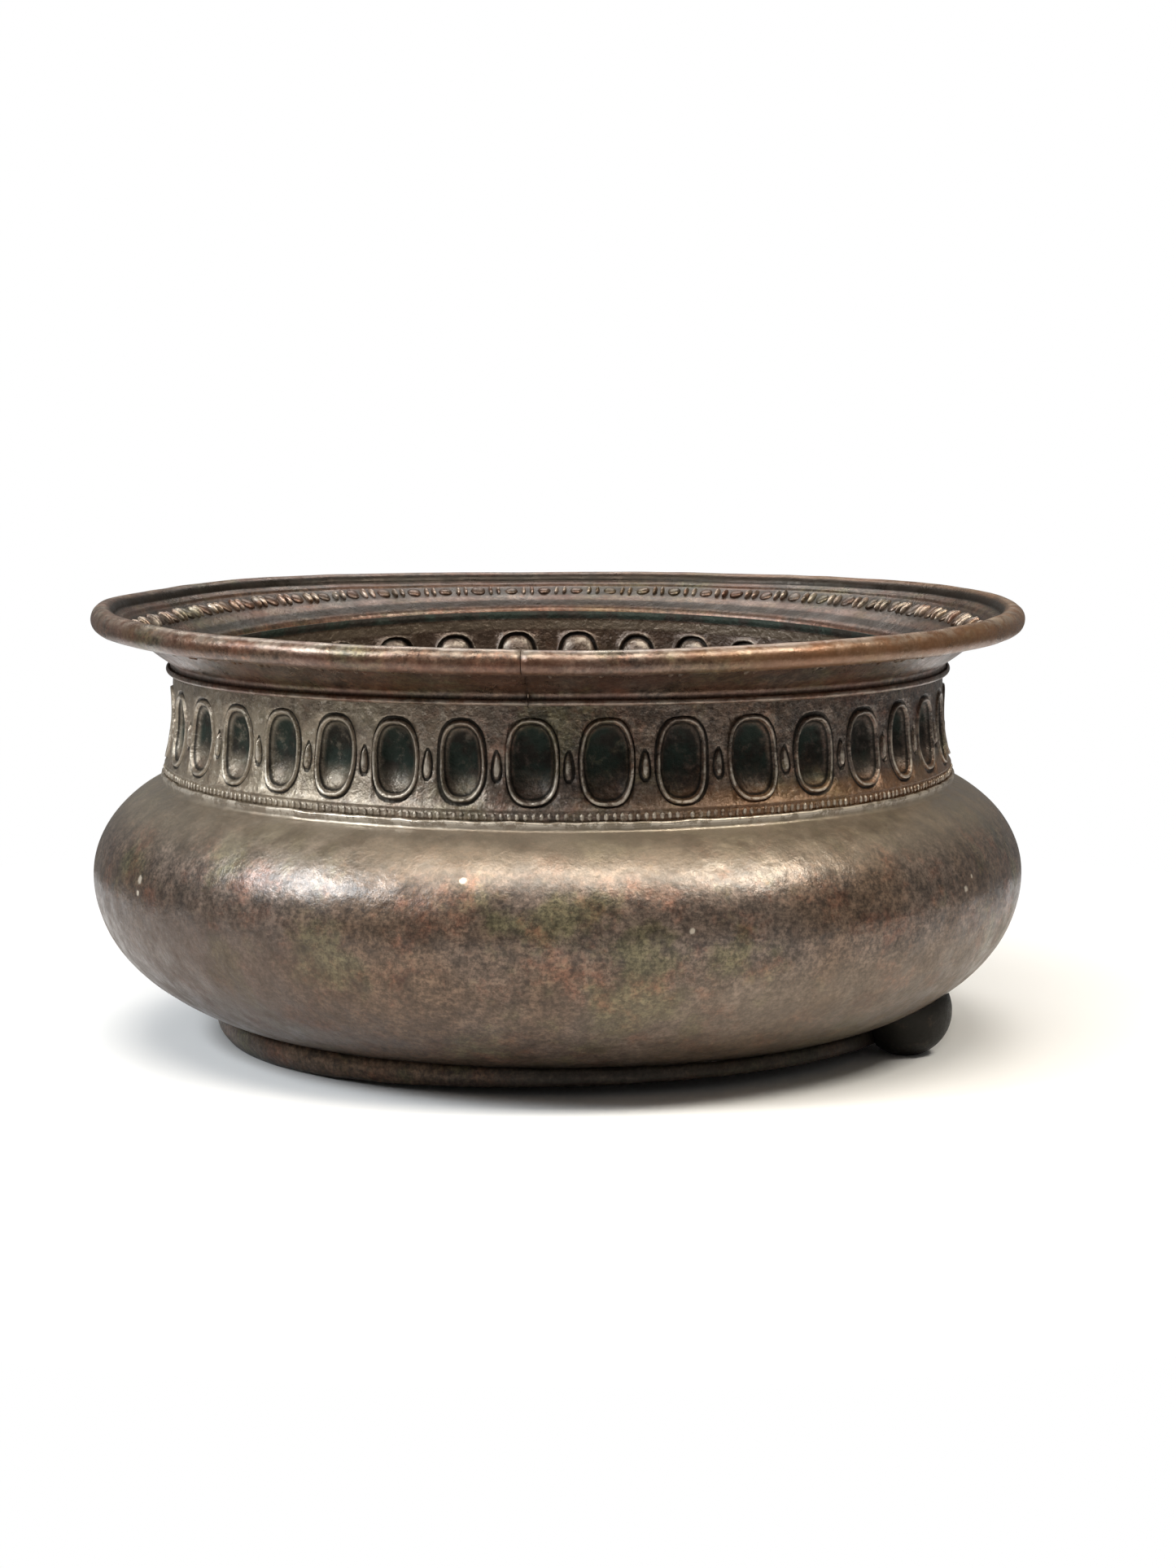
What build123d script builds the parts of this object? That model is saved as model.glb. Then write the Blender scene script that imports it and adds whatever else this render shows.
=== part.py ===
from build123d import *

import math
import os

# A round planter pot of hammered sheet: a raised bowl, an embossed neck band, a flared rim
# rolled over a wire, a foot ring and one levelling foot.
# Millimetres, +Z up, origin on the floor under the middle of the pot, front towards -Y.

# Bowl: a flat underside, a quarter ellipse up to the widest line, another up to the mouth
bowl_wall = 1.4
belly_radius = 190.5        # outside, at the widest line
belly_height = 68.0         # floor to the widest line
base_radius = 108.5         # of the flat underside
base_height = 7.0           # floor to the flat underside
shoulder_tuck = 19.25       # how far inside the mouth the shoulder's ellipse has its middle
seam_height = 109.0         # floor to the lip of the bowl's mouth
lip_rise = 3.4              # of the lip, straight up off the shoulder

# Neck band: a strip of sheet standing in the bowl's mouth
neck_wall = 1.2
neck_radius = 157.2         # outside, at its narrowest
neck_spread = 3.4           # how much wider it is where it stands in the mouth
neck_rise = 47.0            # mouth's lip to its top edge
neck_lap = 8.5              # how far it reaches down inside the mouth
waist_lift = 5.0            # from the middle of the ovals, where its side turns straight
mouth_clearance = 0.15      # solder gap between the band and the lip
milled_bead_swell = 0.7
milled_bead_height = 3.4
fine_line_swell = 0.5
fine_line_height = 1.4

# Ovals dented into the neck band from outside, with a small teardrop between each two
oval_count = 36
oval_first_angle = -93.5    # degrees round from +X
oval_width = 14.0
oval_length = 26.0
oval_depth = 3.6
oval_rise = 22.0            # mouth's lip to the middle of the ovals
drop_width = 7.0
drop_length = 12.0
drop_depth = 1.0
drop_lift = -1.5            # from the middle of the ovals

# Rim: a collar lapped over the neck band, a flare and an edge rolled over a wire
rim_wall = 1.1
rim_radius = 190.4          # outside of the rolled edge
roll_radius = 4.9           # of the rolled edge's section
roll_drop = 1.9             # of its middle, below the end of the flare
wire_clearance = 0.1
collar_lap = 4.2            # how far the collar reaches down over the neck band
collar_clearance = 0.1
collar_bead_radius = 1.4
collar_bend_radius = 3.4
flare_slope = 33.0          # degrees above level, where the flare leaves the collar
joint_angle = -94.0         # where the ends of the rim strip meet
joint_gap = 0.5

# Foot ring: a bulged strip under the belly, worn down on one side
ring_wall = 2.4
ring_top_radius = 139.8     # outside, where it meets the belly
ring_tuck = 2.8             # how much narrower it is at the floor
ring_swell = 2.4            # of its outside, past the line from top to foot
ring_wear = 5.5             # missing from its lower edge at the worst place
ring_wear_angle = -50.0
ring_wear_start = -10.0     # along the wear's direction, from the middle of the pot

# Levelling foot: a ball lug in the corner of belly and ring, on the worn side
lug_radius = 18.5
lug_flat = 0.8              # taken off the bottom of the ball
lug_reach = 10.2            # foot ring's outside to the middle of the ball
lug_angle = -21.5

# Solder
ring_solder_leg = 3.5
neck_solder_leg = 3.0
joint_solder_leg = 4.0
joint_solder_sweep = 2.4    # degrees

belly_run = belly_radius - base_radius
belly_drop = belly_height - base_height

neck_foot_radius = neck_radius + neck_spread
neck_height = seam_height + neck_rise
neck_inner_radius = neck_radius - neck_wall
skirt_height = seam_height - neck_lap
oval_height = seam_height + oval_rise
waist_height = oval_height + waist_lift
fine_line_top = seam_height + milled_bead_height + fine_line_height

mouth_radius = neck_foot_radius + mouth_clearance
lip_radius = mouth_radius + bowl_wall
shoulder_centre = mouth_radius - shoulder_tuck
shoulder_run = belly_radius - shoulder_centre
lip_share = (lip_radius - shoulder_centre) / shoulder_run
shoulder_rise = (seam_height - lip_rise - belly_height) / math.sqrt(1 - lip_share**2)

# The rim's strip runs up the collar, round a bend and out along the flare to the roll
slope = math.radians(flare_slope)
collar_radius = neck_radius + collar_clearance
collar_middle = collar_radius + rim_wall / 2
collar_height = neck_height - collar_lap
bend_height = neck_height - rim_wall
flare_start = (
    collar_middle + collar_bend_radius * (1 - math.sin(slope)),
    bend_height + collar_bend_radius * math.cos(slope),
)
roll_centre_radius = rim_radius - roll_radius
flare_run = roll_centre_radius - roll_radius / 2 - flare_start[0]
flare_rise = flare_run * math.tan(slope)
roll_centre = (roll_centre_radius, flare_start[1] + flare_rise - roll_drop)
wire_radius = roll_radius - rim_wall - wire_clearance
above_all = roll_centre[1] + 2 * roll_radius

ring_foot_radius = ring_top_radius - ring_tuck
ring_corner_radius = ring_top_radius - ring_wall
lug_centre_radius = ring_top_radius + lug_reach


def on_lower_belly(radius):
    """Height of the lower belly's outside at a radius."""
    share = (radius - base_radius) / belly_run
    return belly_height - belly_drop * math.sqrt(1 - share**2)


def shoulder_angle(radius, run):
    """Where a shoulder ellipse of that half-width reaches a radius, in degrees."""
    return math.degrees(math.acos((radius - shoulder_centre) / run))


def on_shoulder(radius, inset=0):
    """Height of the shoulder at a radius, that far inside its outer face."""
    angle = math.radians(shoulder_angle(radius, shoulder_run - inset))
    return belly_height + (shoulder_rise - inset) * math.sin(angle)


def lower_belly(inset=0):
    """The lower quarter ellipse, from the flat underside out to the widest line."""
    return EllipticalCenterArc(
        (base_radius, belly_height), belly_run - inset, belly_drop - inset, -90, arc_size=90
    )


def shoulder(end_radius, inset=0, start_radius=None):
    """The upper quarter ellipse, from the widest line or a radius in to another radius."""
    run = shoulder_run - inset
    start = 0 if start_radius is None else shoulder_angle(start_radius, run)
    return EllipticalCenterArc(
        (shoulder_centre, belly_height),
        run,
        shoulder_rise - inset,
        start,
        arc_size=shoulder_angle(end_radius, run) - start,
    )


def ring_side(inset=0):
    """The foot ring's bulged side, from the floor up past the belly's underside."""
    top_height = on_lower_belly(ring_top_radius)
    foot = (ring_foot_radius - inset, 0)
    middle_radius = (ring_foot_radius + ring_top_radius) / 2 + ring_swell
    middle = (middle_radius - inset, top_height / 2)
    top = (ring_top_radius - inset, top_height + ring_wall)
    return ThreePointArc(foot, middle, top)


def ring_section():
    """The outline of the foot ring's strip, before it is cut to the belly."""
    outside = ring_side()
    inside = ring_side(ring_wall)
    Line(outside @ 0, inside @ 0)
    Line(outside @ 1, inside @ 1)


def belly_section():
    """The outline of the space that the lower belly fills, as half a section."""
    lower_belly()
    Polyline(
        (belly_radius, belly_height),
        (0, belly_height),
        (0, base_height),
        (base_radius, base_height),
    )


def pill(width, length, depth, height, shell=0):
    """A standing pill at +X whose inner cap makes a dent of that size in the neck band."""
    cap_radius = (width**2 / 4 + depth**2) / (2 * depth)
    axis_radius = neck_radius - depth + cap_radius
    reach = cap_radius + shell
    top = height + (length - width) / 2
    bottom = height - (length - width) / 2
    slant = reach * math.sqrt(0.5)
    with BuildPart() as shape:
        with BuildSketch(Plane.XZ):
            with BuildLine():
                Line((axis_radius, bottom - reach), (axis_radius, top + reach))
                ThreePointArc(
                    (axis_radius, top + reach),
                    (axis_radius + slant, top + slant),
                    (axis_radius + reach, top),
                )
                Line((axis_radius + reach, top), (axis_radius + reach, bottom))
                ThreePointArc(
                    (axis_radius + reach, bottom),
                    (axis_radius + slant, bottom - slant),
                    (axis_radius, bottom - reach),
                )
            make_face()
        revolve(axis=Axis((axis_radius, 0, 0), (0, 0, 1)))
        if shell:
            Cylinder(neck_radius - neck_wall / 2, 2 * above_all, mode=Mode.INTERSECT)
    return shape.part


def write(builder, label):
    builder.part.label = label
    export_step(builder.part, f"parts/{label}.step")


os.makedirs("parts", exist_ok=True)


# Bowl, raised from one sheet
with BuildPart() as body_bowl:
    with BuildSketch(Plane.XZ):
        with BuildLine():
            lower_belly()
            shoulder(lip_radius)
            Polyline(
                (lip_radius, on_shoulder(lip_radius)),
                (lip_radius, seam_height),
                (mouth_radius, seam_height),
                (mouth_radius, on_shoulder(mouth_radius, bowl_wall)),
            )
            shoulder(mouth_radius, bowl_wall)
            lower_belly(bowl_wall)
            Polyline(
                (base_radius, base_height + bowl_wall),
                (0, base_height + bowl_wall),
                (0, base_height),
                (base_radius, base_height),
            )
        make_face()
    revolve(axis=Axis.Z)
    lip = body_bowl.edges().filter_by(GeomType.CIRCLE).filter_by_position(
        Axis.Z, seam_height, seam_height
    )
    fillet(lip, bowl_wall * 0.4)
write(body_bowl, "body_bowl")


# Neck band, with a milled bead and a fine line round its foot
ovals = (oval_width, oval_length, oval_depth, oval_height)
drops = (drop_width, drop_length, drop_depth, oval_height + drop_lift)
drop_first_angle = oval_first_angle + 180 / oval_count
dents = [
    (pill(*size, shell=neck_wall), pill(*size), first_angle)
    for size, first_angle in ((ovals, oval_first_angle), (drops, drop_first_angle))
]
with BuildPart() as neck_band:
    with BuildSketch(Plane.XZ):
        with BuildLine():
            Polyline(
                (neck_foot_radius - neck_wall, fine_line_top),
                (neck_foot_radius - neck_wall, skirt_height),
                (neck_foot_radius, skirt_height),
                (neck_foot_radius, seam_height),
            )
            milled_bead = ThreePointArc(
                (neck_foot_radius, seam_height),
                (neck_foot_radius + milled_bead_swell, seam_height + milled_bead_height / 2),
                (neck_foot_radius, seam_height + milled_bead_height),
            )
            fine_line = ThreePointArc(
                milled_bead @ 1,
                (neck_foot_radius + fine_line_swell, fine_line_top - fine_line_height / 2),
                (neck_foot_radius, fine_line_top),
            )
            TangentArc((neck_radius, waist_height), fine_line @ 1, tangent=(0, -1))
            Polyline(
                (neck_radius, waist_height),
                (neck_radius, neck_height),
                (neck_inner_radius, neck_height),
                (neck_inner_radius, waist_height),
            )
            TangentArc(
                (neck_inner_radius, waist_height),
                (neck_foot_radius - neck_wall, fine_line_top),
                tangent=(0, -1),
            )
        make_face()
    revolve(axis=Axis.Z)
    for bulge, hollow, first_angle in dents:
        with PolarLocations(0, oval_count, start_angle=first_angle):
            add(bulge)
            add(hollow, mode=Mode.SUBTRACT)
write(neck_band, "neck_band")


# Rim: the collar's bead, its wall and the flare in one strip, ending in the rolled edge
with BuildPart() as rim_flare:
    with BuildSketch(Plane.XZ):
        with BuildLine():
            Line((collar_middle, collar_height + collar_bead_radius), (collar_middle, bend_height))
            JernArc((collar_middle, bend_height), (0, 1), collar_bend_radius, flare_slope - 90)
            PolarLine(flare_start, flare_run / math.cos(slope), flare_slope)
        trace(line_width=rim_wall)
        with Locations((collar_radius + collar_bead_radius, collar_height + collar_bead_radius)):
            Circle(collar_bead_radius)
        with Locations(roll_centre):
            Circle(roll_radius)
            Circle(roll_radius - rim_wall, mode=Mode.SUBTRACT)
    revolve(axis=Axis.Z)
    with BuildSketch(Plane.XY.offset(above_all)):
        with PolarLocations(roll_centre[0], 1, start_angle=joint_angle):
            Rectangle(2 * roll_radius, joint_gap)
    extrude(amount=roll_centre[1] - roll_radius - above_all, mode=Mode.SUBTRACT)
write(rim_flare, "rim_flare")


# Wire inside the rolled edge, its ends meeting at the same joint
with BuildPart() as rim_wire:
    with BuildSketch(Plane.XZ):
        with Locations(roll_centre):
            Circle(wire_radius)
    revolve(axis=Axis.Z)
    with BuildSketch(Plane.XY.offset(above_all)):
        with PolarLocations(roll_centre[0], 1, start_angle=joint_angle):
            Rectangle(2 * roll_radius, joint_gap)
    extrude(amount=-2 * above_all, mode=Mode.SUBTRACT)
write(rim_wire, "rim_wire")


# Foot ring, cut to the belly above and worn off along a tilted plane below
wear_way = Vector(1, 0, 0).rotate(Axis.Z, ring_wear_angle)
wear_slope = math.atan2(ring_wear, ring_foot_radius - ring_wear_start)
worn_plane = Plane(
    origin=wear_way * ring_wear_start,
    z_dir=Vector(0, 0, math.cos(wear_slope)) - wear_way * math.sin(wear_slope),
)
with BuildPart() as foot_ring:
    with BuildSketch(Plane.XZ):
        with BuildLine():
            ring_section()
        make_face()
        with BuildLine():
            belly_section()
        make_face(mode=Mode.SUBTRACT)
    revolve(axis=Axis.Z)
    split(bisect_by=worn_plane, keep=Keep.TOP)
write(foot_ring, "foot_ring")


# Levelling foot, a ball filed to the belly, the ring and the floor
lug_way = Vector(1, 0, 0).rotate(Axis.Z, lug_angle)
with BuildPart() as levelling_foot:
    with Locations(lug_way * lug_centre_radius + Vector(0, 0, lug_radius - lug_flat)):
        Sphere(lug_radius)
    with BuildSketch(Plane.XZ):
        with BuildLine():
            belly_section()
        make_face()
        with BuildLine():
            outside = ring_side()
            Polyline(outside @ 1, (0, (outside @ 1).Y), (0, 0), outside @ 0)
        make_face()
    revolve(axis=Axis.Z, mode=Mode.SUBTRACT)
    split(bisect_by=Plane.XY, keep=Keep.TOP)
write(levelling_foot, "levelling_foot")


# Solder run round the corner of foot ring and belly, inside the ring
solder_edge_radius = ring_corner_radius - ring_solder_leg
with BuildPart() as foot_solder:
    with BuildSketch(Plane.XZ):
        with BuildLine():
            Polyline(
                (solder_edge_radius, on_lower_belly(solder_edge_radius)),
                (ring_top_radius, on_lower_belly(ring_top_radius)),
                (ring_top_radius, on_lower_belly(ring_corner_radius) - ring_solder_leg),
                close=True,
            )
        make_face()
        with BuildLine():
            belly_section()
        make_face(mode=Mode.SUBTRACT)
        with BuildLine():
            ring_section()
        make_face(mode=Mode.SUBTRACT)
    revolve(axis=Axis.Z)
write(foot_solder, "foot_solder")


# Solder run round inside the mouth, between the neck band's skirt and the shoulder
with BuildPart() as neck_solder:
    with BuildSketch(Plane.XZ):
        with BuildLine():
            solder_radius = mouth_radius + neck_solder_leg
            under_shoulder = shoulder(mouth_radius, bowl_wall, solder_radius)
            under_lip = (under_shoulder @ 1).Y
            Polyline(
                under_shoulder @ 1,
                (neck_foot_radius, under_lip),
                (neck_foot_radius, under_lip - neck_solder_leg),
                under_shoulder @ 0,
            )
        make_face()
    revolve(axis=Axis.Z)
write(neck_solder, "neck_solder")


# Lump of solder under the flare, across the joint in the rolled edge
lump_turn = joint_angle - joint_solder_sweep / 2
lump_outer = roll_centre_radius
lump_inner = roll_centre_radius - roll_radius - joint_solder_leg
lump_bottom = roll_centre[1] - roll_radius * math.sqrt(0.5)
lump_plane = Plane(
    origin=(0, 0, 0),
    x_dir=Vector(1, 0, 0).rotate(Axis.Z, lump_turn),
    z_dir=Vector(0, -1, 0).rotate(Axis.Z, lump_turn),
)


def under_flare(radius):
    """Height of the flare's underside at a radius."""
    return flare_start[1] + (radius - flare_start[0]) * math.tan(slope) - rim_wall / 2 / math.cos(slope)


with BuildPart() as rim_joint_solder:
    with BuildSketch(lump_plane):
        with BuildLine():
            Polyline(
                (lump_inner, under_flare(lump_inner)),
                (lump_outer, under_flare(lump_outer)),
                (lump_outer, lump_bottom),
                (roll_centre_radius - roll_radius, lump_bottom),
                close=True,
            )
        make_face()
        with Locations(roll_centre):
            Circle(roll_radius, mode=Mode.SUBTRACT)
    revolve(axis=Axis.Z, revolution_arc=joint_solder_sweep)
write(rim_joint_solder, "rim_joint_solder")
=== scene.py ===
import math
import random

import bmesh
import bpy
from mathutils import Matrix, Vector, noise


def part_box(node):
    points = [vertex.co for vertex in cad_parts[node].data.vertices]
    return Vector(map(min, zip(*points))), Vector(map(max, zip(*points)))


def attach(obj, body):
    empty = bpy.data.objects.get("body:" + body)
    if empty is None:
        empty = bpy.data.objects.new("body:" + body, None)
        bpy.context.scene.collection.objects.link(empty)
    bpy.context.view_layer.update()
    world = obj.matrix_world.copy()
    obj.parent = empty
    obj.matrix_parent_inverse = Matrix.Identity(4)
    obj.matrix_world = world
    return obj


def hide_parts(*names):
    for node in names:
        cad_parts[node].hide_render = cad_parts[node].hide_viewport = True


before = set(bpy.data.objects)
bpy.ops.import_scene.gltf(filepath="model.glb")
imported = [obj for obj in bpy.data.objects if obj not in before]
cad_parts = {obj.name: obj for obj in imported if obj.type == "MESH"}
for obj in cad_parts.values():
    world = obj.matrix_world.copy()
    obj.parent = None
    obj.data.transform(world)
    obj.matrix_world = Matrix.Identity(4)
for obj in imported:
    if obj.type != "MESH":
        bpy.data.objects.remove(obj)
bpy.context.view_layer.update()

bl_info = {
    "name": "Embossed planter pot",
    "version": (1, 0, 0),
    "blender": (4, 5, 0),
    "location": "3D View > Sidebar > Planter",
    "description": "Shapes and finishes the sheet-metal planter pot round its frame",
    "category": "Add Mesh",
}

MM = 0.001
PANEL_TAB = "Planter"

BOWL_LOW, BOWL_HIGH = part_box("body_bowl")
NECK_LOW, NECK_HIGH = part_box("neck_band")
RIM_LOW, RIM_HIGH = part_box("rim_flare")
RING_LOW, RING_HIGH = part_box("foot_ring")
WIRE_LOW, WIRE_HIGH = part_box("rim_wire")


# ---------------------------------------------------------------- sizes and colours

def length(name, size, description):
    """A length setting, its default given in millimetres."""
    return bpy.props.FloatProperty(name=name, description=description, default=size * MM, unit="LENGTH")


def angle(name, degrees, description):
    """An angle setting, its default given in degrees."""
    return bpy.props.FloatProperty(
        name=name, description=description, default=math.radians(degrees), subtype="ANGLE")


def plain(name, value, description):
    """A plain number."""
    return bpy.props.FloatProperty(name=name, description=description, default=value)


def count(name, number, description):
    """A number of repeats round the pot."""
    return bpy.props.IntProperty(name=name, description=description, default=number, min=8)


def shade_of(name, colour, description):
    """A colour setting."""
    return bpy.props.FloatVectorProperty(name=name, description=description, default=colour, subtype="COLOR")


class PlanterBowl(bpy.types.PropertyGroup):
    """The raised bowl"""

    wall: length("Wall", 1.4, "Thickness of the bowl's sheet")
    base_radius: length("Flat underside", 108.5, "Radius of the flat underside")
    belly_height: length("Belly height", 68, "Floor to the widest line")
    shoulder_middle: length("Shoulder middle", 141.5, "Radius of the middle of the shoulder's ellipse")
    shoulder_rise: length("Shoulder rise", 41.5, "Half-height of the shoulder's ellipse")
    lip_radius: length("Lip radius", 162.15, "Outside of the lip that the neck stands in")
    unevenness: length("Unevenness", 0.55, "How far the hammered sheet wanders from a true round")


class PlanterNeck(bpy.types.PropertyGroup):
    """The embossed neck band"""

    wall: length("Wall", 1.2, "Thickness of the neck's sheet")
    radius: length("Waist radius", 157.2, "Outside of the neck at its narrowest")
    spread: length("Spread", 3.4, "How much wider the neck is at its foot")
    ovals: count("Ovals", 36, "Ovals round the neck")
    first_oval: angle("First oval", -93.5, "Turn of the first oval")
    oval_height: length("Oval height", 130.7, "Floor to the middle of the ovals")
    drift: length("Drift", 2.3, "Half of the most that an oval is shifted along the band")
    ticks: count("Milled ticks", 336, "Ticks in the milled bead round the neck's foot")
    unevenness: length("Unevenness", 0.7, "How far the embossing wanders by hand")


class PlanterRim(bpy.types.PropertyGroup):
    """The flared rim"""

    wall: length("Wall", 1.1, "Thickness of the rim's sheet")
    roll_radius: length("Roll radius", 4.9, "Outside radius of the rolled edge")
    slope: angle("Flare slope", 33, "Rise of the flare")
    motifs: count("Bead motifs", 72, "Bead-and-reel motifs round the inside of the flare")
    joint: angle("Joint", -94, "Turn of the butt joint in the strip")
    slump: length("Slump", 1.7, "How unevenly the rim's joint sits on the neck")
    saddle: length("Saddle", 0.9, "How far the rim's two sides have warped up")


class PlanterFoot(bpy.types.PropertyGroup):
    """The foot ring"""

    wall: length("Wall", 2.4, "Thickness of the foot ring's strip")
    top_radius: length("Top radius", 139.8, "Outside of the ring under the belly")
    foot_radius: length("Foot radius", 137, "Outside of the ring at the floor")
    wear: length("Wear", 5.5, "Height missing at the worst place")
    wear_turn: angle("Wear turn", -50, "Turn of the worst place")


class PlanterFinish(bpy.types.PropertyGroup):
    """Colours of the old metal, and of the light and shade painted on it"""

    brown: shade_of("Brown", (0.120, 0.077, 0.050), "The patina's main brown")
    olive: shade_of("Olive", (0.118, 0.098, 0.054), "Olive patches")
    grey: shade_of("Grey", (0.126, 0.091, 0.070), "Grey and purple bloom")
    red: shade_of("Red", (0.190, 0.070, 0.038), "Red-brown copper showing through")
    # Orange is also laid on the neck's lower right as painted light.
    orange: shade_of("Orange", (0.300, 0.140, 0.050), "Orange-brown rubbed edge")
    # Dust is also laid as painted light, on the bowl's upper shoulder and on the neck's left front.
    dust: shade_of("Dust", (0.360, 0.293, 0.212), "Tan bloom where dust settles")
    # Shade is painted shade: laid under the belly, over the belly's lower left and over the neck's inside.
    shade: shade_of("Shade", (0.066, 0.040, 0.026), "Dull brown under the belly and inside")
    # Dark is also laid as painted shade: at the bowl's bottom edge, in the neck's throat and upper hollows,
    # in the rim's bend and under its flare, over the foot ring and on the levelling foot.
    dark: shade_of("Dark", (0.020, 0.018, 0.015), "Dirt in the hollows")
    green: shade_of("Green", (0.018, 0.030, 0.024), "Green-black in the deepest hollows")
    # Bright is also laid on the neck's left front as painted glints.
    bright: shade_of("Bright", (0.62, 0.54, 0.44), "Rubbed bare metal")
    solder: shade_of("Solder", (0.45, 0.43, 0.40), "Soft solder")


class PlanterStage(bpy.types.PropertyGroup):
    """Camera, lamps and floor"""

    distance: length("Distance", 1575, "Camera to the middle of the pot")
    elevation: angle("Elevation", 8.18, "Camera above level")
    aim_height: length("Aim height", 86, "Height that the camera points at")
    lens: plain("Lens", 87.56, "Focal length in millimetres")
    shift_across: plain("Shift across", 0.0192, "Camera shift to the right, as a share of the frame")
    shift_up: plain("Shift up", 0.0240, "Camera shift upwards, as a share of the frame")
    backdrop: shade_of("Backdrop", (1, 1, 1), "Colour behind the pot")
    room: plain("Room light", 0.16, "Strength of the room's even light")


# ---------------------------------------------------------------- shapes

# Steps round the pot, which all divide into the spun shapes' sectors
SECTORS = 12
ROUND_STEPS = 288
RIM_STEPS = 360
WIRE_STEPS = 240


def arc(centre, radii, start, end, steps):
    """Points (radius, height) on an ellipse's arc; angles in degrees, from outwards round to up."""
    turns = [math.radians(start + (end - start) * i / steps) for i in range(steps + 1)]
    return [(centre[0] + radii[0] * math.cos(t), centre[1] + radii[1] * math.sin(t)) for t in turns]


def run(start, end, steps):
    """Points on a straight run, both ends left out."""
    shares = [i / steps for i in range(1, steps)]
    return [(start[0] + (end[0] - start[0]) * s, start[1] + (end[1] - start[1]) * s) for s in shares]


def walled(path, thickness):
    """A closed outline that thickens a path of (radius, height) points to both sides."""
    left = []
    right = []
    for i, point in enumerate(path):
        before = Vector(path[max(i - 1, 0)])
        after = Vector(path[min(i + 1, len(path) - 1)])
        along = (after - before).normalized()
        across = Vector((-along.y, along.x)) * thickness / 2
        left.append(Vector(point) + across)
        right.append(Vector(point) - across)
    return left + right[::-1]


def spun(outline, steps, closed, start=0.0, gap=0.0):
    """Spins an outline of (radius, height) points round the pot's axis, one sector and then its copies."""
    bm = bmesh.new()
    turn = Matrix.Rotation(start + gap / 2, 3, "Z")
    verts = [bm.verts.new(turn @ Vector((point[0], 0, point[1]))) for point in outline]
    edges = [bm.edges.new(pair) for pair in zip(verts, verts[1:])]
    if closed:
        edges.append(bm.edges.new((verts[-1], verts[0])))
    sector = (math.tau - gap) / SECTORS
    bmesh.ops.spin(
        bm, geom=verts + edges, cent=(0, 0, 0), axis=(0, 0, 1), angle=sector, steps=steps // SECTORS,
        use_duplicate=False)
    repeat(bm, sector, SECTORS)
    bmesh.ops.remove_doubles(bm, verts=bm.verts[:], dist=0.01 * MM)
    if gap:
        caps = bmesh.ops.holes_fill(bm, edges=[e for e in bm.edges if e.is_boundary], sides=0)["faces"]
        bmesh.ops.triangulate(bm, faces=caps)
    bmesh.ops.recalc_face_normals(bm, faces=bm.faces[:])
    return bm


def repeat(bm, pitch, copies):
    """Copies everything in the bmesh round the pot's axis, copies in all."""
    geometry = bm.verts[:] + bm.edges[:] + bm.faces[:]
    bmesh.ops.spin(
        bm, geom=geometry, cent=(0, 0, 0), axis=(0, 0, 1), angle=pitch * (copies - 1), steps=copies - 1,
        use_duplicate=True)


def poured(bm, other):
    """Adds another bmesh to this one, and frees it."""
    mesh = bpy.data.meshes.new("poured")
    other.to_mesh(mesh)
    other.free()
    bm.from_mesh(mesh)
    bpy.data.meshes.remove(mesh)


def wander(bm, size, reach, seed=0.0, share=None):
    """Moves each vertex by a smooth field whose lumps have that size; share(co) scales it."""
    noise.seed_set(1)
    shift = Vector((seed, seed * 0.7, -seed))
    for v in bm.verts:
        amount = reach if share is None else reach * share(v.co)
        if amount:
            v.co += noise.noise_vector(v.co / size + shift) * amount


def tell(bm, name, value):
    """Stores value(vert) on each vertex, for the finish to read."""
    layer = bm.verts.layers.float.new(name)
    for v in bm.verts:
        v[layer] = value(v)


def finished(bm, name, material, replaced=()):
    """Makes the bmesh a piece of the pot that rides on its one body."""
    mesh = bpy.data.meshes.new(name)
    bm.to_mesh(mesh)
    bm.free()
    mesh.shade_smooth()
    piece = bpy.data.objects.new(name, mesh)
    bpy.context.scene.collection.objects.link(piece)
    mesh.materials.append(material)
    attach(piece, "root")
    if replaced:
        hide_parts(*replaced)
    return piece


def painted(node, material):
    """Gives a node of the CAD its material."""
    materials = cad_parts[node].data.materials
    materials.clear()
    materials.append(material)


def smoothstep(value, low, high):
    share = min(max((value - low) / (high - low), 0), 1)
    return share * share * (3 - 2 * share)


def below_collar(co):
    """Runs from one on the neck to nothing where the rim's collar grips it."""
    return 1 - smoothstep(co.z, 145 * MM, 150 * MM)


def above_neck(co):
    """Runs from nothing at the neck's top to one at the rim's."""
    return smoothstep(co.z, NECK_HIGH.z, RIM_HIGH.z)


def turn_of(co):
    return math.atan2(co.y, co.x)


def saddled(bm, saddle):
    """Warps the flare up at the pot's two sides, the way the old rim has moved."""
    for v in bm.verts:
        v.co.z += saddle * math.cos(2 * turn_of(v.co)) * above_neck(v.co)


def slumped(bm, slump, share):
    """Lifts the joint of neck and rim at the back and drops it at the sides; share(co) scales it."""
    for v in bm.verts:
        turn = turn_of(v.co)
        v.co.z += slump * (math.sin(turn) - math.cos(2 * turn)) * share(v.co)


# ---------------------------------------------------------------- the neck's relief

BEAD_HEIGHT = 3.4 * MM
BEAD_SWELL = 0.5 * MM
LINE_HEIGHT = 1.4 * MM
LINE_SWELL = 0.55 * MM
SEAM = BOWL_HIGH.z
LINE_TOP = SEAM + BEAD_HEIGHT + LINE_HEIGHT

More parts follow.
